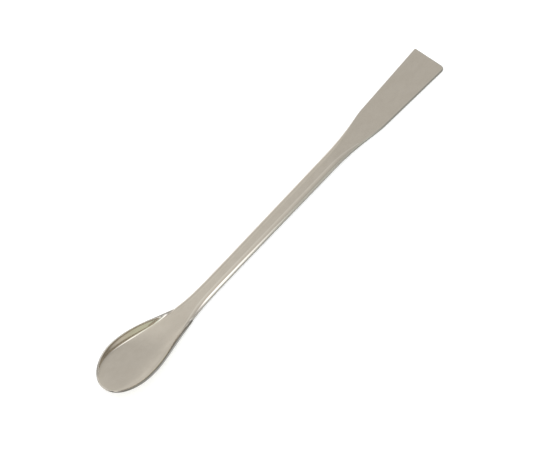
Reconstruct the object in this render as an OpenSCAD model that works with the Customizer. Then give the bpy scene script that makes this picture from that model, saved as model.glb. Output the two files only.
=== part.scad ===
// Laboratory spoon with a spatula blade, pressed and ground from one bar of stainless steel.
// It lies along X, with the bowl towards -X and the blade towards +X. Z is up, and the flat
// underside of the handle and the blade is at z = 0. All lengths are in millimetres.

/* [Overall] */
// Length from the tip of the bowl to the end of the blade
overall_len = 180; // [150:1:300]

/* [Bowl] */
// Width of the bowl at its widest place, between the middles of its two walls
bowl_w = 18.5; // [14:0.1:26]
// Distance from the bowl's tip to its widest place
bowl_widest = 14.2; // [10:0.1:20]
// Length over which the bowl narrows to the handle, measured from its tip
bowl_len = 69.7; // [56:0.1:80]
// Power that draws out the end of that narrowing; 1 leaves it a plain half cosine wave
bowl_back_power = 2.52; // [1:0.01:3]
// Height of the level part of the rim above the bowl's floor
rim_rise = 6.55; // [4:0.05:10]
// Distance from the bowl's tip to where the level rim and its slope would meet
rim_fall_start = 21.7; // [17:0.1:28]
// Distance from the bowl's tip to where the rim's slope would meet the handle
rim_fall_end = 42.9; // [38:0.1:52]
// Length over which the rim curves from level into its slope
rim_fall_round = 28.8; // [10:0.1:32]
// Length over which the rim curves from its slope into the handle
rim_end_round = 2; // [2:0.1:14]
// How far the rim drops from its level part to the tip
tip_droop = 1.6; // [0:0.1:3]
// Power of the curve by which the floor turns up into the side walls; a higher one bends it tighter
wall_power = 16; // [4:1:20]
// Share of the rim's height by which the floor bows up before it turns into the walls
floor_bow = 0.06; // [0:0.01:0.2]
// Distance from the bowl's tip to where its floor starts to rise towards the tip
floor_rise_start = 29; // [18:0.5:32]
// Height of the floor's underside above the table
bowl_lift = 2.2; // [0.5:0.1:3]
// Thickness of the bowl's wall
bowl_t = 0.9; // [0.6:0.1:1.5]
// Width of the rounding along the bowl's rim
rim_edge = 0.35; // [0.2:0.05:0.7]

/* [Handle] */
// Width of the handle where it leaves the bowl
neck_w = 5.9; // [4.5:0.1:8]
// Width of the handle where it starts to flare into the blade
handle_end_w = 6.5; // [4.5:0.1:8]
// Thickness of the handle
handle_t = 2.6; // [1.8:0.1:3.5]
// Width of the rounding along the handle's edges, which leaves them no flat side
handle_edge = 1.9; // [1:0.1:2.2]
// Distance from the bowl's tip to where its wall starts to thicken
neck_start = 24; // [20:0.5:34]
// Distance from the bowl's tip to where the handle has its full thickness
neck_end = 52; // [46:0.5:60]

/* [Blade] */
// Length of the blade from its shoulders to its end
blade_len = 34.6; // [20:0.1:50]
// Width of the blade at its shoulders
shoulder_w = 10.65; // [9:0.1:16]
// Width of the blade at its end
blade_end_w = 13.6; // [11:0.1:18]
// Thickness of the blade at its shoulders
shoulder_t = 1.2; // [0.9:0.1:1.7]
// Thickness of the blade at its end
blade_end_t = 1; // [0.7:0.1:1.5]
// Length of the flare between the handle and the shoulders
flare_len = 11; // [8:0.1:24]
// Length over which each side curves from the handle into the flare
flare_round = 23.3; // [6:0.5:30]
// Length over which each side curves from the flare into the blade
shoulder_round = 5.2; // [2:0.1:14]
// How far before the shoulders the handle starts to get thinner
thinning_len = 24; // [12:0.5:40]
// Width of the rounding along the blade's edges
blade_edge = 0.35; // [0.2:0.05:0.6]
// Length of the rounding at the blade's end
end_edge = 0.45; // [0.2:0.05:0.8]
// Radius of the blade's corner on the +Y side
corner_r_left = 0.6; // [0.5:0.1:3]
// Radius of the blade's corner on the -Y side
corner_r_right = 1.8; // [0.5:0.1:3]

/* [Hidden] */

STEEL = [0.7, 0.67, 0.62];

// Power of the curve by which the bowl's floor rises to the tip
FLOOR_POWER = 1.5;
// Share of the blade's thickness that is left flat on its end face
END_FLAT = 0.2;
// How far the skin runs on past the blade's end before it is cut square
END_STOCK = 0.05;
// Largest share of half the width that the rounding of an edge takes
EDGE_SHARE = 0.8;

// Places along the length, measured from the bowl's tip
shoulder_s = overall_len - blade_len;
flare_s = shoulder_s - flare_len;
thinning_s = shoulder_s - thinning_len;
corner_s = overall_len - max(corner_r_left, corner_r_right);
skin_end = overall_len + END_STOCK;

// How finely the skin is divided
TIP_STEPS = 16;
BOWL_STEPS = 28;
HANDLE_STEPS = 5;
FLARE_STEPS = 20;
BLADE_STEPS = 2;
CORNER_STEPS = 8;
FACE_STEPS = 22;
EDGE_STEPS = 5;
// How strongly the points across a face crowd towards its edges
CROWDING = 2.2;

function lerp(a, b, f) = a + (b - a) * f;
function clamp01(f) = min(max(f, 0), 1);

// S-shaped step from 0 to 1 while s goes from a to b
function ease(s, a, b) = (1 - cos(180 * clamp01((s - a) / (b - a)))) / 2;

// Zero for x below 0 and x above it, with the knee rounded over the length r
function knee(x, r) = x < -r / 2 ? 0 : x > r / 2 ? x : pow(x + r / 2, 2) / (2 * r);

// Quarter circle that rises from 0 to 1 while f goes from 0 to 1
function quarter(f) = sqrt(1 - pow(1 - clamp01(f), 2));

// How fast each side moves out along the handle, the flare and the blade
handle_slope = (handle_end_w - neck_w) / 2 / (flare_s - bowl_len);
flare_slope = (shoulder_w - handle_end_w) / 2 / flare_len;
blade_slope = (blade_end_w - shoulder_w) / 2 / blade_len;

// Half the width at s: an elliptical tip, a drawn-out cosine wave down to the handle, then a
// knee at each end of the flare
function side_past_tip(s) =
    neck_w / 2 + handle_slope * max(s - bowl_len, 0)
    + (bowl_w - neck_w) / 2 * pow(1 - ease(s, bowl_widest, bowl_len), bowl_back_power)
    + (flare_slope - handle_slope) * knee(s - flare_s, flare_round)
    + (blade_slope - flare_slope) * knee(s - shoulder_s, shoulder_round);
function half_w(s) = s < bowl_widest ? bowl_w / 2 * quarter(s / bowl_widest) : side_past_tip(s);

// How far a corner of radius r draws the blade's side in
function corner_cut(s, r) = r * (1 - quarter((skin_end - s) / r));

function thickness(s) =
    s < thinning_s ? lerp(bowl_t, handle_t, ease(s, neck_start, neck_end))
    : s < shoulder_s ? lerp(handle_t, shoulder_t, ease(s, thinning_s, shoulder_s))
    : lerp(shoulder_t, blade_end_t, (s - shoulder_s) / blade_len);

// How much wider an edge is when it is measured straight across, where the tip's outline slants
function slant(s) =
    let(squash = bowl_w / 2 / bowl_widest)
    sqrt(1 + pow(squash * squash * max(bowl_widest - s, 0) / half_w(s), 2));

// Width of the rounding along the two edges, measured straight across
function edge_w(s) =
    s < thinning_s ? lerp(rim_edge, handle_edge, ease(s, neck_start, neck_end)) * slant(s)
    : lerp(handle_edge, blade_edge, ease(s, thinning_s, shoulder_s));

// Share of the thickness that is left where the metal is rounded off at its two ends
function end_share(s) =
    s < rim_edge ? quarter(s / rim_edge)
    : lerp(END_FLAT, 1, quarter((skin_end - s) / end_edge));

// Height of the rim above the bowl's floor, which falls to nothing at the neck
function rim_above_floor(s) =
    let(fall = knee(s - rim_fall_start, rim_fall_round) - knee(s - rim_fall_end, rim_end_round))
    rim_rise * (1 - fall / (rim_fall_end - rim_fall_start));
function droop(s) = tip_droop * pow(max(1 - s / bowl_widest, 0), 2);
function floor_rise(s) = rim_rise * pow(max(1 - s / floor_rise_start, 0), FLOOR_POWER);

// Height of the middle of the metal on the centre line
function middle_z(s) =
    bowl_lift * (1 - ease(s, neck_start, neck_end)) + thickness(s) / 2 + floor_rise(s) - droop(s);

// How far the rim stands above the centre line
function dish(s) = rim_above_floor(s) - floor_rise(s);

// Height of the dished section and its steepness, u of the way from the centre line to the edge
function section(u) = floor_bow * u * u + (1 - floor_bow) * pow(u, wall_power);
function section_slope(u) = 2 * floor_bow * u + (1 - floor_bow) * wall_power * pow(u, wall_power - 1);

// Point of the skin at y, standing h away from the dished middle of the metal
function skin_point(s, y, h) =
    let(
        u = abs(y) / half_w(s),
        slope = sign(y) * section_slope(u) * dish(s) / half_w(s),
        n = sqrt(1 + slope * slope)
    )
    [s - overall_len / 2, y - h * slope / n, middle_z(s) + dish(s) * section(u) + h / n];

// Share of the way across a face at step i, closest together near its edges
function across(i) =
    let(q = 2 * i / FACE_STEPS - 1)
    (1 + sign(q) * (1 - pow(1 - abs(q), CROWDING))) / 2;

// Places round the upper half of a section, from the +Y edge to the -Y edge. Each is a distance
// from the centre line and the share of half the thickness there.
function upper_half(left, right, e) = concat(
    [for (i = [0:EDGE_STEPS - 1]) let(a = 90 * i / EDGE_STEPS) [left - e + e * cos(a), sin(a)]],
    [for (i = [0:FACE_STEPS]) [lerp(left - e, e - right, across(i)), 1]],
    [for (i = [EDGE_STEPS - 1:-1:1]) let(a = 90 * i / EDGE_STEPS) [e - right - e * cos(a), sin(a)]]
);

// One closed ring of points round the section at s
function ring(s) =
    let(
        left = half_w(s) - corner_cut(s, corner_r_left),
        right = half_w(s) - corner_cut(s, corner_r_right),
        e = min(edge_w(s), EDGE_SHARE * left, EDGE_SHARE * right),
        h = thickness(s) / 2 * end_share(s),
        up = upper_half(left, right, e),
        down = upper_half(right, left, e)
    )
    concat([for (p = up) skin_point(s, p[0], h * p[1])], [for (p = down) skin_point(s, -p[0], -h * p[1])]);

// Places of the rings, closest together where the outline curves most
function spread(a, b, n) = [for (i = [0:n - 1]) lerp(a, b, i / n)];
stations = concat(
    [for (i = [1:TIP_STEPS - 1]) bowl_widest * (1 - cos(90 * i / TIP_STEPS))],
    spread(bowl_widest, neck_end, BOWL_STEPS),
    spread(neck_end, thinning_s, HANDLE_STEPS),
    spread(thinning_s, shoulder_s + shoulder_round / 2, FLARE_STEPS),
    spread(shoulder_s + shoulder_round / 2, corner_s, BLADE_STEPS),
    [for (i = [0:CORNER_STEPS]) lerp(corner_s, skin_end, sin(90 * i / CORNER_STEPS))]
);

RING = 4 * EDGE_STEPS + 2 * FACE_STEPS;
skin_points = concat([for (s = stations) each ring(s)], [[-overall_len / 2, 0, middle_z(0)]]);
tip_index = len(skin_points) - 1;
last_ring = (len(stations) - 1) * RING;

// Triangles of the skin, of the fan at the bowl's tip and of the blade's end
skin_faces = concat(
    [for (k = [0:len(stations) - 2], i = [0:RING - 1])
        let(a = k * RING + i, b = k * RING + (i + 1) % RING)
        each [[a, b, b + RING], [a, b + RING, a + RING]]],
    [for (i = [0:RING - 1]) [tip_index, (i + 1) % RING, i]],
    [[for (i = [0:RING - 1]) last_ring + i]]
);

module spatula() {
    color(STEEL)
        difference() {
            polyhedron(points = skin_points, faces = skin_faces);
            // The blade's end is cut square
            translate([overall_len / 2, -blade_end_w, -blade_end_t])
                cube([2 * END_STOCK, 2 * blade_end_w, 3 * blade_end_t]);
        }
}

spatula();
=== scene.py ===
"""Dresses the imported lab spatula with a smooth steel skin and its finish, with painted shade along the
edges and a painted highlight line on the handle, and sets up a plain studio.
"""

import math

import bpy
import numpy as np
from bpy.props import FloatProperty, FloatVectorProperty, IntProperty, PointerProperty
from bpy.types import Operator, Panel, PropertyGroup
from mathutils import Matrix, Quaternion, Vector


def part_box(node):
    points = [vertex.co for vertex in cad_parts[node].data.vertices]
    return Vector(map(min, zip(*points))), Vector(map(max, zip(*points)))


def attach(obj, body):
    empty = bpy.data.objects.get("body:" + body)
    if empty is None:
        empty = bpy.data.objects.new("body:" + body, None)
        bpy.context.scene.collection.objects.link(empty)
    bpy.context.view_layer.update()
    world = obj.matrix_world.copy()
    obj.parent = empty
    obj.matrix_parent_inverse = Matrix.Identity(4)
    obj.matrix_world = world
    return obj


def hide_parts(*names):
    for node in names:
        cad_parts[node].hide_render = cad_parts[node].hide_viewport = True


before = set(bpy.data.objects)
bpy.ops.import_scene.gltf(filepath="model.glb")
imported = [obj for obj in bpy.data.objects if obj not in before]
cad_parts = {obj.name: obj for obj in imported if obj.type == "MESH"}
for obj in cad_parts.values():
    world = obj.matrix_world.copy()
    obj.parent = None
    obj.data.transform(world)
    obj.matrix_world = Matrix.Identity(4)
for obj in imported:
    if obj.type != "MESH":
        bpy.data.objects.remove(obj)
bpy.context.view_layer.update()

bl_info = {
    "name": "Lab Spatula",
    "version": (1, 0, 0),
    "blender": (4, 5, 0),
    "location": "View3D > Sidebar > Lab Spatula",
    "description": "Builds a pressed steel lab spatula over its solid, and a plain studio round it",
    "category": "Object",
}

NODE = "spatula"
BODY = "root"
LOW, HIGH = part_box(NODE)
MM = 0.001

# Width of the picture and how far the lens is shifted right and up, in pixels.
FRAME_WIDTH = 540
LENS_SHIFT = (-0.673, -0.702)

# Panels of the tent: turn from +X, height above the floor, reach and width of the soft border, in degrees.
FAR_PANEL = (88.0, 0.0, 67.5, 3.0)
NEAR_PANEL = (-92.0, 23.0, 36.0, 36.0)
HIGH_SHADE = (68.0, 39.0, 31.0, 13.0)
LOW_SHADE = (-116.0, -5.0, 77.0, 54.0)
TINTED_PANEL = (-105.0, 15.0, 55.0, 35.0)

# Heights between which the white foot of the tent fades, as the rise of a direction of length 1.
HORIZON_BAND = (0.02, 0.06)


def length(name, millimetres, description):
    """A size that shows in the panel as a length."""
    return FloatProperty(
        name=name,
        description=description,
        default=millimetres * MM,
        min=0.0,
        precision=5,
        unit="LENGTH",
    )


def share(name, default, description, highest=1.0):
    """A plain number from nothing up to a highest value."""
    return FloatProperty(name=name, description=description, default=default, min=0.0, max=highest)


def tone(name, default, description, highest=1.0):
    """A colour of the steel or of the light."""
    return FloatVectorProperty(
        name=name,
        description=description,
        default=default,
        size=3,
        subtype="COLOR",
        min=0.0,
        max=highest,
    )


def steps(name, default, description, least):
    """A number of rings or points of the mesh."""
    return IntProperty(name=name, description=description, default=default, min=least)


class SpatulaSizes(PropertyGroup):
    """Sizes of the pressed and ground bar, measured from the bowl's tip."""

    overall_len: length("Overall length", (HIGH.x - LOW.x) / MM, "From the bowl's tip to the blade's end")
    bowl_w: length("Bowl width", 18.5, "Width of the bowl at its widest, between the middles of its walls")
    bowl_widest: length("Widest place", 14.2, "From the bowl's tip to its widest place")
    bowl_len: length("Bowl length", 69.7, "Length over which the bowl narrows to the handle")
    bowl_back_power: share("Drawn-out neck", 2.52, "How far the end of the narrowing is drawn out", 3.0)
    rim_rise: length("Rim height", 6.55, "Height of the level rim above the bowl's floor")
    rim_fall_start: length("Rim fall start", 21.7, "Where the level rim and its slope would meet")
    rim_fall_end: length("Rim fall end", 42.9, "Where the rim's slope would meet the handle")
    rim_fall_round: length("Rim fall curve", 28.8, "Length over which the rim curves into its slope")
    rim_end_round: length("Rim end curve", 2.0, "Length over which the rim curves into the handle")
    tip_droop: length("Tip droop", 1.6, "How far the rim drops from its level part to the tip")
    wall_power: share("Wall curve", 16.0, "Power of the curve by which the floor turns up to the walls", 24.0)
    floor_bow: share("Floor bow", 0.06, "Share of the rim's height that the floor bows up before the walls")
    floor_rise_start: length("Floor rise start", 29.0, "Where the floor starts to rise towards the tip")
    floor_power: share("Floor curve", 1.5, "Power of the curve by which the floor rises to the tip", 4.0)
    floor_blend: share("Floor blend", 0.2, "How gently the level floor goes over into its rise")
    bowl_lift: length("Bowl lift", 2.2, "Height of the floor's underside above the table")
    bowl_t: length("Wall thickness", 0.9, "Thickness of the bowl's wall")
    rim_edge: length("Rim rounding", 0.35, "Width of the rounding along the rim")
    neck_w: length("Neck width", 5.9, "Width of the handle where it leaves the bowl")
    handle_end_w: length("Handle width", 6.5, "Width of the handle where the flare starts")
    handle_t: length("Handle thickness", 2.6, "Thickness of the handle")
    handle_edge: length("Handle rounding", 1.9, "Width of the rounding along the handle's edges")
    neck_start: length("Neck start", 24.0, "Where the bowl's wall starts to thicken")
    neck_end: length("Neck end", 52.0, "Where the handle has its full thickness")
    blade_len: length("Blade length", 34.6, "From the blade's shoulders to its end")
    shoulder_w: length("Shoulder width", 10.65, "Width of the blade at its shoulders")
    blade_end_w: length("Blade width", 13.6, "Width of the blade at its end")
    shoulder_t: length("Shoulder thickness", 1.2, "Thickness of the blade at its shoulders")
    blade_end_t: length("Blade thickness", 1.0, "Thickness of the blade at its end")
    flare_len: length("Flare length", 11.0, "Length of the flare between the handle and the shoulders")
    flare_round: length("Flare curve", 23.3, "Length over which a side curves into the flare")
    shoulder_round: length("Shoulder curve", 5.2, "Length over which a side curves into the blade")
    thinning_len: length("Thinning length", 24.0, "How far before the shoulders the handle starts to thin")
    blade_edge: length("Blade rounding", 0.35, "Width of the rounding along the blade's edges")
    end_edge: length("End rounding", 0.45, "Length of the rounding at the blade's end")
    end_flat: share("End flat", 0.2, "Share of the blade's thickness that is left flat on its end face")
    corner_r_left: length("Left corner", 0.6, "Radius of the blade's corner on the +Y side")
    corner_r_right: length("Right corner", 1.8, "Radius of the blade's corner on the -Y side")
    edge_share: share("Edge share", 0.8, "Largest share of half the width that the rounding of an edge takes")
    wear_reach: length("Wear reach", 0.875, "How far in from the edges handling has polished the steel")
    # Painted shade: the next six settings darken the lower parts of the edges, a line along the blade's edges
    # and end, and the underside near the edges.
    painted_shade_start: share("Shade start", 0.5, "Share of half the thickness below which the edges turn dark")
    blade_painted_shade_start: share("Blade shade start", 1.0, "The same share at the blade's edges")
    painted_shade_growth: share("Shade growth", 1.6, "How fast the edges turn dark below that place", 4.0)
    far_side_painted_shade_spared: share("Far side light", 0.7, "How much of the shade the edge on the +Y side is spared")
    painted_blade_line_w: length("Blade line", 0.5, "Width of the dark line along the blade's edges")
    painted_shade_reach: length("Shade reach", 2.5, "How far in from the edges the underside is dark")
    # Painted highlight: width of the light line laid along the start of the handle's near rounding.
    painted_crease_w: length("Crease width", 0.2, "Width of the light line where the handle's near rounding starts")
    tip_rings: steps("Tip rings", 48, "Rings from the tip to the widest place", 8)
    bar_rings: steps("Bar rings", 360, "Rings from there to the blade's corners", 40)
    end_rings: steps("End rings", 22, "Rings round the blade's corners", 6)
    face_steps: steps("Face steps", 72, "Points across the top or the underside", 8)
    crowding: share("Crowding", 2.2, "How strongly the points across a face crowd towards its edges", 4.0)
    edge_steps: steps("Edge steps", 9, "Points from a face to the edge's crest", 3)


class SteelFinishAndPaintedShading(PropertyGroup):
    """Colours and surface of the worn, softly polished steel, with the colours of its painted edge shade and
    painted highlight line.
    """

    light_tone: tone("Light steel", (0.56, 0.513, 0.437), "Colour of the cleaner steel")
    dark_tone: tone("Dark steel", (0.535, 0.488, 0.412), "Colour of the duller steel")
    edge_tone: tone("Edge steel", (0.58, 0.54, 0.48), "Colour of the steel where handling has polished it")
    # Painted shade: dark colour laid along the lower parts of the edges and on the underside near them.
    painted_shade_tone: tone("Shaded steel", (0.17, 0.16, 0.14), "Colour of the steel under its edges")
    # Painted highlight: colour of the light line along the handle's near rounding.
    painted_crease_tone: tone("Crease steel", (0.61, 0.57, 0.50), "Colour of the line along the near rounding")
    polish: share("Roughness", 0.07, "Roughness of the cleaner steel")
    dullness: share("Dull roughness", 0.12, "Roughness of the duller steel")
    grain_depth: share("Grain depth", 0.08, "Strength of the polishing grain along the bar")
    scratch_depth: share("Scratch depth", 0.1, "Strength of the scratches from use")
    scratch_dullness: share("Scratch roughness", 0.08, "Roughness that a scratch adds")
    relief: length("Relief", 0.02, "Height that grain and scratches are drawn with")
    relief_strength: share("Relief strength", 0.25, "How strongly that height shows")


class StudioSetup(PropertyGroup):
    """Camera, floor and lamps."""

    camera_elevation: FloatProperty(
        name="Camera elevation",
        description="Angle of the view above the floor",
        default=math.radians(57.5),
        subtype="ANGLE",
    )
    camera_turn: FloatProperty(
        name="Camera turn",
        description="Turn of the view round the spatula, from along +Y towards +X",
        default=math.radians(51.157),
        subtype="ANGLE",
    )
    camera_distance: length("Camera distance", 1800.0, "From the camera to the middle of the spatula")
    aim_height: length("Aim height", 1.25, "Height above the table of the point that the camera looks at")
    view_depth: length("View depth", 50000.0, "How far the camera sees")
    lens: FloatProperty(
        name="Focal length",
        description="Focal length of the lens, in millimetres",
        default=346.3,
        unit="CAMERA",
    )
    sensor: FloatProperty(
        name="Sensor width",
        description="Width of the camera's sensor, in millimetres",
        default=36.0,
        unit="CAMERA",
    )
    floor_size: length("Floor size", 6000.0, "Side of the square floor")
    floor_gap: length("Floor gap", 0.1, "How far the floor lies below the spatula")
    horizon: share("Horizon", 1.0, "Brightness of the tent where it meets the floor", 2.0)
    tent: share("Tent", 0.58, "Brightness of the plain tent", 2.0)
    tent_slope: FloatVectorProperty(
        name="Tent slope",
        description="How much brighter the tent gets toward the blade, the far side and overhead",
        default=(0.08, 0.15, 0.16),
    )
    tent_least: share("Darkest tent", 0.15, "Brightness that the tent keeps where it is darkest", 2.0)
    far_panel: share("Far panel", 0.20, "Light added by the panel behind the spatula", 4.0)
    near_panel: share("Near panel", 1.90, "Light added by the panel in front of the spatula", 4.0)
    high_shade: share("High shade", 0.13, "How much darker the tent is high on the far side", 2.0)
    low_shade: share("Low shade", 0.90, "How much darker the tent is low on the near side", 2.0)
    near_tone: tone("Near tone", (0.88, 1.0, 0.94), "Colour of the tent's light low on the near side")
    side_glow: share("Side lamp", 2.3, "Brightness of the tall lamp in front of the handle", 10.0)
    side_tone: tone("Side lamp tone", (0.95, 0.98, 1.07), "Colour of the side lamp's light", 2.0)
    top_glow: share("Top lamp", 0.65, "Brightness of the wide lamp overhead", 10.0)
    floor_tone: share("Floor tone", 0.92, "How much light the floor gives back")
    floor_glow: share("Floor glow", 0.44, "Brightness that the floor has by itself")


def between(a, b, part):
    """The value that lies the given part of the way from a to b."""
    return a + (b - a) * part


def ease(s, a, b):
    """S-shaped step from 0 to 1 while s goes from a to b."""
    return (1 - np.cos(np.pi * np.clip((s - a) / (b - a), 0, 1))) / 2


def knee(x, curve):
    """Zero for x below 0 and x above it, with the knee rounded over the given length."""
    return np.where(x < -curve / 2, 0, np.where(x > curve / 2, x, (x + curve / 2) ** 2 / (2 * curve)))


def quarter(part):
    """Quarter circle that rises from 0 to 1."""
    return np.sqrt(1 - (1 - np.clip(part, 0, 1)) ** 2)


def half_width(z, s):
    """Half the bar's width at s: elliptical tip, drawn-out neck, flare and blade."""
    shoulder = z.overall_len - z.blade_len
    flare = shoulder - z.flare_len
    handle_slope = (z.handle_end_w - z.neck_w) / 2 / (flare - z.bowl_len)
    flare_slope = (z.shoulder_w - z.handle_end_w) / 2 / z.flare_len
    blade_slope = (z.blade_end_w - z.shoulder_w) / 2 / z.blade_len
    side = (
        z.neck_w / 2
        + handle_slope * np.maximum(s - z.bowl_len, 0)
        + (z.bowl_w - z.neck_w) / 2 * (1 - ease(s, z.bowl_widest, z.bowl_len)) ** z.bowl_back_power
        + (flare_slope - handle_slope) * knee(s - flare, z.flare_round)
        + (blade_slope - flare_slope) * knee(s - shoulder, z.shoulder_round)
    )
    return np.where(s < z.bowl_widest, z.bowl_w / 2 * quarter(s / z.bowl_widest), side)


def thickness(z, s):
    """Thickness of the metal at s: bowl wall, handle, then the thinning blade."""
    shoulder = z.overall_len - z.blade_len
    thinning = shoulder - z.thinning_len
    bowl_to_handle = between(z.bowl_t, z.handle_t, ease(s, z.neck_start, z.neck_end))
    handle_to_blade = between(z.handle_t, z.shoulder_t, ease(s, thinning, shoulder))
    blade = between(z.shoulder_t, z.blade_end_t, (s - shoulder) / z.blade_len)
    return np.where(s < thinning, bowl_to_handle, np.where(s < shoulder, handle_to_blade, blade))


def edge_width(z, s, half):
    """Width of the rounding along the edges, measured across the bar."""
    shoulder = z.overall_len - z.blade_len
    thinning = shoulder - z.thinning_len
    width = np.where(
        s < thinning,
        between(z.rim_edge, z.handle_edge, ease(s, z.neck_start, z.neck_end)),
        between(z.handle_edge, z.blade_edge, ease(s, thinning, shoulder)),
    )
    tip_slope = (z.bowl_w / 2 / z.bowl_widest) ** 2 * np.maximum(z.bowl_widest - s, 0) / half
    return width * np.sqrt(1 + tip_slope**2)


def end_share(z, s):
    """Share of the thickness that is left where the metal is rounded off at its two ends."""
    tip = quarter(s / z.rim_edge)
    blade_end = between(z.end_flat, 1, quarter((z.overall_len - s) / z.end_edge))
    return np.where(s < z.rim_edge, tip, blade_end)


def dish_depth(z, s):
    """How far the rim stands above the floor at s, and how far the floor has risen."""
    fall = knee(s - z.rim_fall_start, z.rim_fall_round) - knee(s - z.rim_fall_end, z.rim_end_round)
    rim = z.rim_rise * (1 - fall / (z.rim_fall_end - z.rim_fall_start))
    to_tip = 1 - s / z.floor_rise_start
    floor_rise = z.rim_rise * ((to_tip + np.hypot(to_tip, z.floor_blend)) / 2) ** z.floor_power
    return rim - floor_rise, floor_rise


def middle_height(z, s):
    """Height of the middle of the metal on the centre line."""
    floor_rise = dish_depth(z, s)[1]
    droop = z.tip_droop * np.maximum(1 - s / z.bowl_widest, 0) ** 2
    lift = z.bowl_lift * (1 - ease(s, z.neck_start, z.neck_end))
    return lift + thickness(z, s) / 2 + floor_rise - droop


def skin_points(z, s, y, away):
    """Points of the skin at y, standing the given distance from the dished middle of the metal."""
    half = half_width(z, s)
    dish = dish_depth(z, s)[0]
    out = np.abs(y) / half
    section = z.floor_bow * out**2 + (1 - z.floor_bow) * out**z.wall_power
    steepness = 2 * z.floor_bow * out + (1 - z.floor_bow) * z.wall_power * out ** (z.wall_power - 1)
    slope = np.sign(y) * steepness * dish / half
    lean = np.sqrt(1 + slope**2)
    x = np.broadcast_to(s - z.overall_len / 2, y.shape)
    height = middle_height(z, s) + dish * section + away / lean
    return np.stack([x, y - away * slope / lean, height], axis=-1)


def half_ring(left, right, edge, z):
    """Places round the upper half of each section: distance from the centre line and share of thickness."""
    turn = np.linspace(0, np.pi / 2, z.edge_steps, endpoint=False)
    back = turn[:0:-1]
    q = np.linspace(-1, 1, z.face_steps + 1)
    across = (1 + np.sign(q) * (1 - (1 - np.abs(q)) ** z.crowding)) / 2
    places = np.concatenate(
        [
            left - edge + edge * np.cos(turn),
            between(left - edge, edge - right, across),
            edge - right - edge * np.cos(back),
        ],
        axis=1,
    )
    shares = np.concatenate([np.sin(turn), np.ones(z.face_steps + 1), np.sin(back)])
    return places, shares


def ring_places(z):
    """Distances from the tip at which the skin's rings stand, closest together at both ends."""
    corner = max(z.corner_r_left, z.corner_r_right)
    tip = z.bowl_widest * (1 - np.cos(np.linspace(0, np.pi / 2, z.tip_rings + 1)[1:-1]))
    bar = np.linspace(z.bowl_widest, z.overall_len - corner, z.bar_rings, endpoint=False)
    end = z.overall_len - corner + corner * np.sin(np.linspace(0, np.pi / 2, z.end_rings))
    return np.concatenate([tip, bar, end])


def skin_marks(z, s, left, right, edge, top, top_share, under):
    """Each point's share of wear, painted shade and painted crease highlight, from 0 to 1."""
    to_end = z.overall_len - s
    shoulder = z.overall_len - z.blade_len
    top_inward = np.minimum(left - top, top + right)
    under_inward = np.minimum(right - under, under + left)
    inward = np.concatenate([top_inward, under_inward], axis=1)
    wear = np.clip(1 - np.minimum(inward, np.minimum(s, to_end)) / z.wear_reach, 0, 1)
    # Painted shade: darkens the lower part of each edge, a line along the blade's edges and end, and the
    # underside near the edges, less on the bowl's +Y side.
    painted_shade_start = between(z.painted_shade_start, z.blade_painted_shade_start, ease(s, shoulder - z.thinning_len, shoulder))
    above = np.clip(z.painted_shade_growth * (1 - top_share / painted_shade_start), 0, 1)
    painted_blade_line = np.clip(1 - np.minimum(top_inward, to_end) / z.painted_blade_line_w, 0, 1)
    above = np.maximum(above, painted_blade_line * ease(s, shoulder - z.flare_len, shoulder))
    below = np.clip(1 - under_inward / z.painted_shade_reach, 0, 1)
    spared = z.far_side_painted_shade_spared * ease(s, 0, z.bowl_widest)
    shade = np.concatenate([above * (1 - spared * (top > 0)), below * (1 - spared * (under < 0))], axis=1)
    # Painted highlight: a light line along the start of the handle's near (-Y) rounding, only where the
    # handle's rounding is wide.
    from_crease = top + right - edge + z.painted_crease_w / 2
    line = np.where(edge > z.handle_edge / 2, np.exp(-((from_crease / z.painted_crease_w) ** 2)), 0)
    painted_crease_highlight = np.concatenate([line, np.zeros(under.shape)], axis=1)
    return {"edge_wear": wear, "painted_edge_shade": shade, "painted_crease_highlight": painted_crease_highlight}


def skin_rings(z):
    """The skin as closed rings of points, with the marks of every point."""
    s = ring_places(z)[:, None]
    half = half_width(z, s)
    to_end = z.overall_len - s
    left = half - z.corner_r_left * (1 - quarter(to_end / z.corner_r_left))
    right = half - z.corner_r_right * (1 - quarter(to_end / z.corner_r_right))
    edge = np.minimum(edge_width(z, s, half), z.edge_share * np.minimum(left, right))
    away = thickness(z, s) / 2 * end_share(z, s)
    top, top_share = half_ring(left, right, edge, z)
    under, under_share = half_ring(right, left, edge, z)
    points = np.concatenate(
        [skin_points(z, s, top, away * top_share), skin_points(z, s, -under, -away * under_share)],
        axis=1,
    )
    return points, skin_marks(z, s, left, right, edge, top, top_share, under)


def bar_mesh(z):
    """The whole skin as a mesh, with its marks kept on every point."""
    rings, marks = skin_rings(z)
    count, around = rings.shape[:2]
    points = [tuple(p) for p in rings.reshape(-1, 3)]
    tip = len(points)
    points.append((-z.overall_len / 2, 0.0, float(middle_height(z, np.zeros(1))[0])))
    faces = []
    for k in range(count - 1):
        row = k * around
        for i in range(around):
            j = (i + 1) % around
            faces.append((row + i, row + j, row + around + j, row + around + i))
    faces.extend((tip, (i + 1) % around, i) for i in range(around))
    last = (count - 1) * around
    half = around // 2
    for i in range(half):
        faces.append((last + i, last + i + 1, last + (around - i - 1) % around, last + (around - i) % around))
    mesh = bpy.data.meshes.new("spatula_skin")
    mesh.from_pydata(points, [], faces)
    for name, values in marks.items():
        mark = mesh.attributes.new(name, "FLOAT", "POINT")
        mark.data.foreach_set("value", np.append(values.ravel(), values[0, 0]).astype(np.float32))
    mesh.validate()
    mesh.shade_smooth()
    return mesh


def node(tree, kind, **inputs):
    """Adds a shader node and sets its plain inputs by name."""
    made = tree.nodes.new(kind)
    for name, value in inputs.items():
        made.inputs[name.replace("_", " ")].default_value = value
    return made


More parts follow.
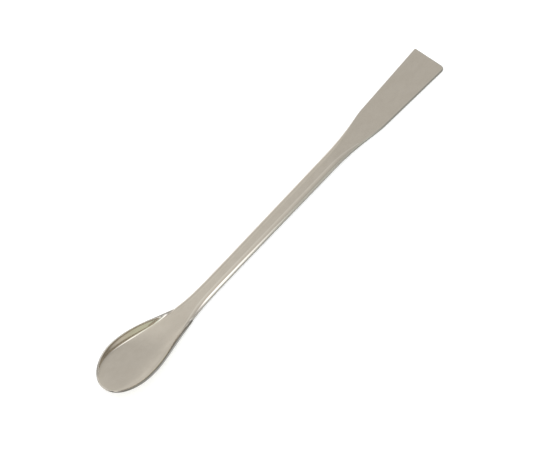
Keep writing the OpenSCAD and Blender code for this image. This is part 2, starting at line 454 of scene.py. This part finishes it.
def noise_along_bar(tree, where, squeeze, scale, detail, roughness):
    """Noise whose grains are drawn out along the bar: the smaller the squeeze, the longer they are."""
    fit = node(tree, "ShaderNodeMapping", Scale=(squeeze, 1.0, 1.0))
    tree.links.new(where, fit.inputs["Vector"])
    made = node(tree, "ShaderNodeTexNoise", Scale=scale, Detail=detail, Roughness=roughness)
    tree.links.new(fit.outputs["Vector"], made.inputs["Vector"])
    return made.outputs["Fac"]


def ramp(tree, fac, low, high):
    """Spreads the part of a 0 to 1 value between low and high over 0 to 1."""
    made = node(tree, "ShaderNodeMapRange", From_Min=low, From_Max=high)
    tree.links.new(fac, made.inputs["Value"])
    return made.outputs["Result"]


def fade(tree, value, low, high, first, last):
    """Goes smoothly from the first number to the last while a value goes from low to high."""
    made = node(tree, "ShaderNodeMapRange", From_Min=low, From_Max=high, To_Min=first, To_Max=last)
    made.interpolation_type = "SMOOTHSTEP"
    tree.links.new(value, made.inputs["Value"])
    return made.outputs["Result"]


def blend(tree, part, a, b):
    """Mixes two plain numbers, either of which may be a socket."""
    made = tree.nodes.new("ShaderNodeMix")
    tree.links.new(part, made.inputs[0])
    for socket, value in ((made.inputs[2], a), (made.inputs[3], b)):
        if isinstance(value, bpy.types.NodeSocket):
            tree.links.new(value, socket)
        else:
            socket.default_value = value
    return made.outputs[0]


def mix_colour(tree, fac, a, b):
    """Mixes two colours, either of which may be a socket."""
    made = tree.nodes.new("ShaderNodeMix")
    made.data_type = "RGBA"
    tree.links.new(fac, made.inputs["Factor"])
    for name, value in (("A", a), ("B", b)):
        socket = [i for i in made.inputs if i.name == name and i.type == "RGBA"][0]
        if isinstance(value, bpy.types.NodeSocket):
            tree.links.new(value, socket)
        else:
            socket.default_value = (*value, 1.0)
    return [o for o in made.outputs if o.type == "RGBA"][0]


def maths(tree, operation, a, b):
    """Works out one sum from two values, either of which may be a socket."""
    made = tree.nodes.new("ShaderNodeMath")
    made.operation = operation
    for i, value in enumerate((a, b)):
        if isinstance(value, bpy.types.NodeSocket):
            tree.links.new(value, made.inputs[i])
        else:
            made.inputs[i].default_value = value
    return made.outputs[0]


def worn_steel_and_painted_shading(f):
    """Softly polished stainless steel: cloudy tone, grain along the bar, scratches, polished edges, painted
    shade along and under the edges, and a painted highlight line along the handle's near rounding.
    """
    material = bpy.data.materials.new("worn_steel_and_painted_shading")
    material.use_nodes = True
    tree = material.node_tree
    tree.nodes.clear()
    where = tree.nodes.new("ShaderNodeTexCoord").outputs["Object"]
    patches = noise_along_bar(tree, where, squeeze=0.6, scale=420.0, detail=5.0, roughness=0.6)
    clouds = ramp(tree, patches, low=0.35, high=0.65)
    grain = noise_along_bar(tree, where, squeeze=0.05, scale=6500.0, detail=3.0, roughness=0.6)
    streaks = noise_along_bar(tree, where, squeeze=0.025, scale=2600.0, detail=2.0, roughness=0.5)
    scratches = ramp(tree, streaks, low=0.66, high=0.74)
    colour = mix_colour(tree, clouds, tuple(f.dark_tone), tuple(f.light_tone))
    # Wear lightens the edges; painted shade darkens their lower parts and the underside near them; a painted
    # highlight lightens a line along the handle's near rounding.
    for name, marked in (("edge_wear", f.edge_tone), ("painted_crease_highlight", f.painted_crease_tone), ("painted_edge_shade", f.painted_shade_tone)):
        mark = tree.nodes.new("ShaderNodeAttribute")
        mark.attribute_name = name
        colour = mix_colour(tree, mark.outputs["Fac"], colour, tuple(marked))
    rough = blend(tree, clouds, f.dullness, f.polish)
    rough = maths(tree, "ADD", rough, maths(tree, "MULTIPLY", scratches, f.scratch_dullness))
    raised = maths(tree, "MULTIPLY", grain, f.grain_depth)
    height = maths(tree, "ADD", raised, maths(tree, "MULTIPLY", scratches, -f.scratch_depth))
    bump = node(tree, "ShaderNodeBump", Strength=f.relief_strength, Distance=f.relief)
    tree.links.new(height, bump.inputs["Height"])
    steel = node(tree, "ShaderNodeBsdfPrincipled", Metallic=1.0)
    tree.links.new(colour, steel.inputs["Base Color"])
    tree.links.new(rough, steel.inputs["Roughness"])
    tree.links.new(bump.outputs["Normal"], steel.inputs["Normal"])
    out = tree.nodes.new("ShaderNodeOutputMaterial")
    tree.links.new(steel.outputs["BSDF"], out.inputs["Surface"])
    return material


def seen_directly(tree):
    """One for camera, mirror and glass rays, and nothing for the rest."""
    path = tree.nodes.new("ShaderNodeLightPath")
    both = maths(tree, "MAXIMUM", path.outputs["Is Camera Ray"], path.outputs["Is Glossy Ray"])
    return maths(tree, "MAXIMUM", both, path.outputs["Is Transmission Ray"])


def white_floor(studio):
    """Pale floor that shows white, and keeps a soft shadow."""
    material = bpy.data.materials.new("white_floor")
    material.use_nodes = True
    tree = material.node_tree
    tree.nodes.clear()
    pale = (studio.floor_tone, studio.floor_tone, studio.floor_tone, 1.0)
    matt = node(tree, "ShaderNodeBsdfDiffuse", Color=pale)
    glow = node(tree, "ShaderNodeEmission", Color=(1.0, 1.0, 1.0, 1.0))
    tree.links.new(maths(tree, "MULTIPLY", seen_directly(tree), studio.floor_glow), glow.inputs["Strength"])
    both = tree.nodes.new("ShaderNodeAddShader")
    tree.links.new(matt.outputs["BSDF"], both.inputs[0])
    tree.links.new(glow.outputs["Emission"], both.inputs[1])
    out = tree.nodes.new("ShaderNodeOutputMaterial")
    tree.links.new(both.outputs["Shader"], out.inputs["Surface"])
    return material


def facing(tree, direction, axis):
    """How far a direction points along an axis."""
    made = tree.nodes.new("ShaderNodeVectorMath")
    made.operation = "DOT_PRODUCT"
    tree.links.new(direction, made.inputs[0])
    made.inputs[1].default_value = axis
    return made.outputs["Value"]


def tent_panel(tree, direction, panel, strength):
    """Light that one round panel adds to the tent, with a soft border."""
    turn, lift, reach, border = (math.radians(angle) for angle in panel)
    axis = (math.cos(lift) * math.cos(turn), math.cos(lift) * math.sin(turn), math.sin(lift))
    outside, inside = math.cos(reach), math.cos(reach - border)
    return fade(tree, facing(tree, direction, axis), outside, inside, 0.0, strength)


def light_tent(scene, studio):
    """World that lights like a graded tent with brighter and darker panels, white at its foot."""
    world = bpy.data.worlds.new("light_tent")
    world.use_nodes = True
    tree = world.node_tree
    tree.nodes.clear()
    direction = tree.nodes.new("ShaderNodeTexCoord").outputs["Generated"]
    level = maths(tree, "ADD", facing(tree, direction, studio.tent_slope), studio.tent)
    panels = (
        (FAR_PANEL, studio.far_panel),
        (NEAR_PANEL, studio.near_panel),
        (HIGH_SHADE, -studio.high_shade),
        (LOW_SHADE, -studio.low_shade),
    )
    for panel, strength in panels:
        level = maths(tree, "ADD", level, tent_panel(tree, direction, panel, strength))
    level = maths(tree, "MAXIMUM", level, studio.tent_least)
    off_horizon = fade(tree, facing(tree, direction, (0.0, 0.0, 1.0)), *HORIZON_BAND, 0.0, 1.0)
    level = blend(tree, off_horizon, studio.horizon, level)
    tinted = maths(tree, "MULTIPLY", tent_panel(tree, direction, TINTED_PANEL, 1.0), off_horizon)
    glow = tree.nodes.new("ShaderNodeBackground")
    tree.links.new(mix_colour(tree, tinted, (1.0, 1.0, 1.0), tuple(studio.near_tone)), glow.inputs["Color"])
    tree.links.new(level, glow.inputs["Strength"])
    out = tree.nodes.new("ShaderNodeOutputWorld")
    tree.links.new(glow.outputs["Background"], out.inputs["Surface"])
    scene.world = world


def soft_lamp(scene, name, centre, towards, size, brightness, lean=0.0, colour=(1.0, 1.0, 1.0)):
    """A lit patch of a diffuser that faces one way: brightest in its middle and fading to its edges."""
    data = bpy.data.lights.new(name, "AREA")
    data.shape = "RECTANGLE"
    data.size, data.size_y = size
    data.energy = brightness * math.pi * size[0] * size[1]
    data.color = colour
    data.use_nodes = True
    tree = data.node_tree
    place = node(tree, "ShaderNodeMapping", Location=(-1.0, -1.0, 0.0), Scale=(2.0, 2.0, 0.0))
    tree.links.new(tree.nodes.new("ShaderNodeTexCoord").outputs["UV"], place.inputs["Vector"])
    round_fall = tree.nodes.new("ShaderNodeTexGradient")
    round_fall.gradient_type = "SPHERICAL"
    tree.links.new(place.outputs["Vector"], round_fall.inputs["Vector"])
    smooth = fade(tree, round_fall.outputs["Fac"], 0.0, 1.0, 0.0, 1.0)
    tree.links.new(smooth, tree.nodes["Emission"].inputs["Strength"])
    lamp = bpy.data.objects.new(name, data)
    scene.collection.objects.link(lamp)
    lamp.location = centre
    aim = Vector(towards).to_track_quat("-Z", "Y")
    lamp.rotation_euler = (aim @ Quaternion((0.0, 0.0, 1.0), lean)).to_euler()
    return lamp


def view_axes(studio):
    """Right, up and forward directions of the camera."""
    lift, turn = studio.camera_elevation, studio.camera_turn
    right = Vector((math.cos(turn), -math.sin(turn), 0.0))
    forward = Vector((math.cos(lift) * math.sin(turn), math.cos(lift) * math.cos(turn), -math.sin(lift)))
    return right, right.cross(forward), forward


def place_camera(scene, studio):
    """Long-lens camera looking down at the middle of the spatula."""
    right, up, forward = view_axes(studio)
    data = bpy.data.cameras.new("camera")
    data.lens = studio.lens
    data.sensor_width = studio.sensor
    data.clip_end = studio.view_depth
    data.shift_x, data.shift_y = (shift / FRAME_WIDTH for shift in LENS_SHIFT)
    camera = bpy.data.objects.new("camera", data)
    scene.collection.objects.link(camera)
    turn = Matrix((right, up, -forward)).transposed()
    place = Vector((0.0, 0.0, studio.aim_height)) - forward * studio.camera_distance
    camera.matrix_world = Matrix.Translation(place) @ turn.to_4x4()
    scene.camera = camera


class SPATULA_OT_bar(Operator):
    """Builds the one-piece steel bar with its bowl and blade"""

    bl_idname = "spatula.bar"
    bl_label = "Make the spatula"

    def execute(self, context):
        mesh = bar_mesh(context.scene.spatula_sizes)
        mesh.materials.append(worn_steel_and_painted_shading(context.scene.spatula_finish))
        bar = bpy.data.objects.new("spatula_bar", mesh)
        context.scene.collection.objects.link(bar)
        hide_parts(NODE)
        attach(bar, BODY)
        return {"FINISHED"}


class SPATULA_OT_stage(Operator):
    """Sets up the floor, the surround, the lamps and the camera"""

    bl_idname = "spatula.stage"
    bl_label = "Make the stage"

    def execute(self, context):
        scene = context.scene
        studio = scene.spatula_studio
        half = studio.floor_size / 2
        mesh = bpy.data.meshes.new("floor")
        corners = [(-half, -half, 0.0), (half, -half, 0.0), (half, half, 0.0), (-half, half, 0.0)]
        mesh.from_pydata(corners, [], [(0, 1, 2, 3)])
        mesh.materials.append(white_floor(studio))
        floor = bpy.data.objects.new("floor", mesh)
        floor.location.z = LOW.z - studio.floor_gap
        scene.collection.objects.link(floor)
        light_tent(scene, studio)
        place_camera(scene, studio)
        soft_lamp(
            scene,
            "side_glow",
            centre=(0.070, -0.160, 0.200),
            towards=(0.0, 1.0, 0.0),
            size=(0.115, 0.50),
            brightness=studio.side_glow,
            lean=-0.25,
            colour=studio.side_tone,
        )
        soft_lamp(
            scene,
            "top_glow",
            centre=(-0.090, -0.011, 0.417),
            towards=(0.0, 0.0, -1.0),
            size=(0.86, 1.50),
            brightness=studio.top_glow,
        )
        scene.view_settings.view_transform = "Standard"
        return {"FINISHED"}


class SPATULA_PT_panel(Panel):
    """Lists the pieces and their sizes"""

    bl_idname = "SPATULA_PT_panel"
    bl_label = "Lab Spatula"
    bl_space_type = "VIEW_3D"
    bl_region_type = "UI"
    bl_category = "Lab Spatula"

    def draw(self, context):
        layout = self.layout
        groups = (
            (SPATULA_OT_bar, context.scene.spatula_sizes),
            (None, context.scene.spatula_finish),
            (SPATULA_OT_stage, context.scene.spatula_studio),
        )
        for operator, group in groups:
            box = layout.box()
            if operator is not None:
                box.operator(operator.bl_idname)
            for name in group.__annotations__:
                box.prop(group, name)


CLASSES = (SpatulaSizes, SteelFinishAndPaintedShading, StudioSetup, SPATULA_OT_bar, SPATULA_OT_stage, SPATULA_PT_panel)


def register():
    for each in CLASSES:
        bpy.utils.register_class(each)
    bpy.types.Scene.spatula_sizes = PointerProperty(type=SpatulaSizes)
    bpy.types.Scene.spatula_finish = PointerProperty(type=SteelFinishAndPaintedShading)
    bpy.types.Scene.spatula_studio = PointerProperty(type=StudioSetup)


def unregister():
    del bpy.types.Scene.spatula_studio
    del bpy.types.Scene.spatula_finish
    del bpy.types.Scene.spatula_sizes
    for each in reversed(CLASSES):
        bpy.utils.unregister_class(each)


def main():
    register()
    bpy.ops.spatula.bar()
    bpy.ops.spatula.stage()


if __name__ == "__main__":
    main()
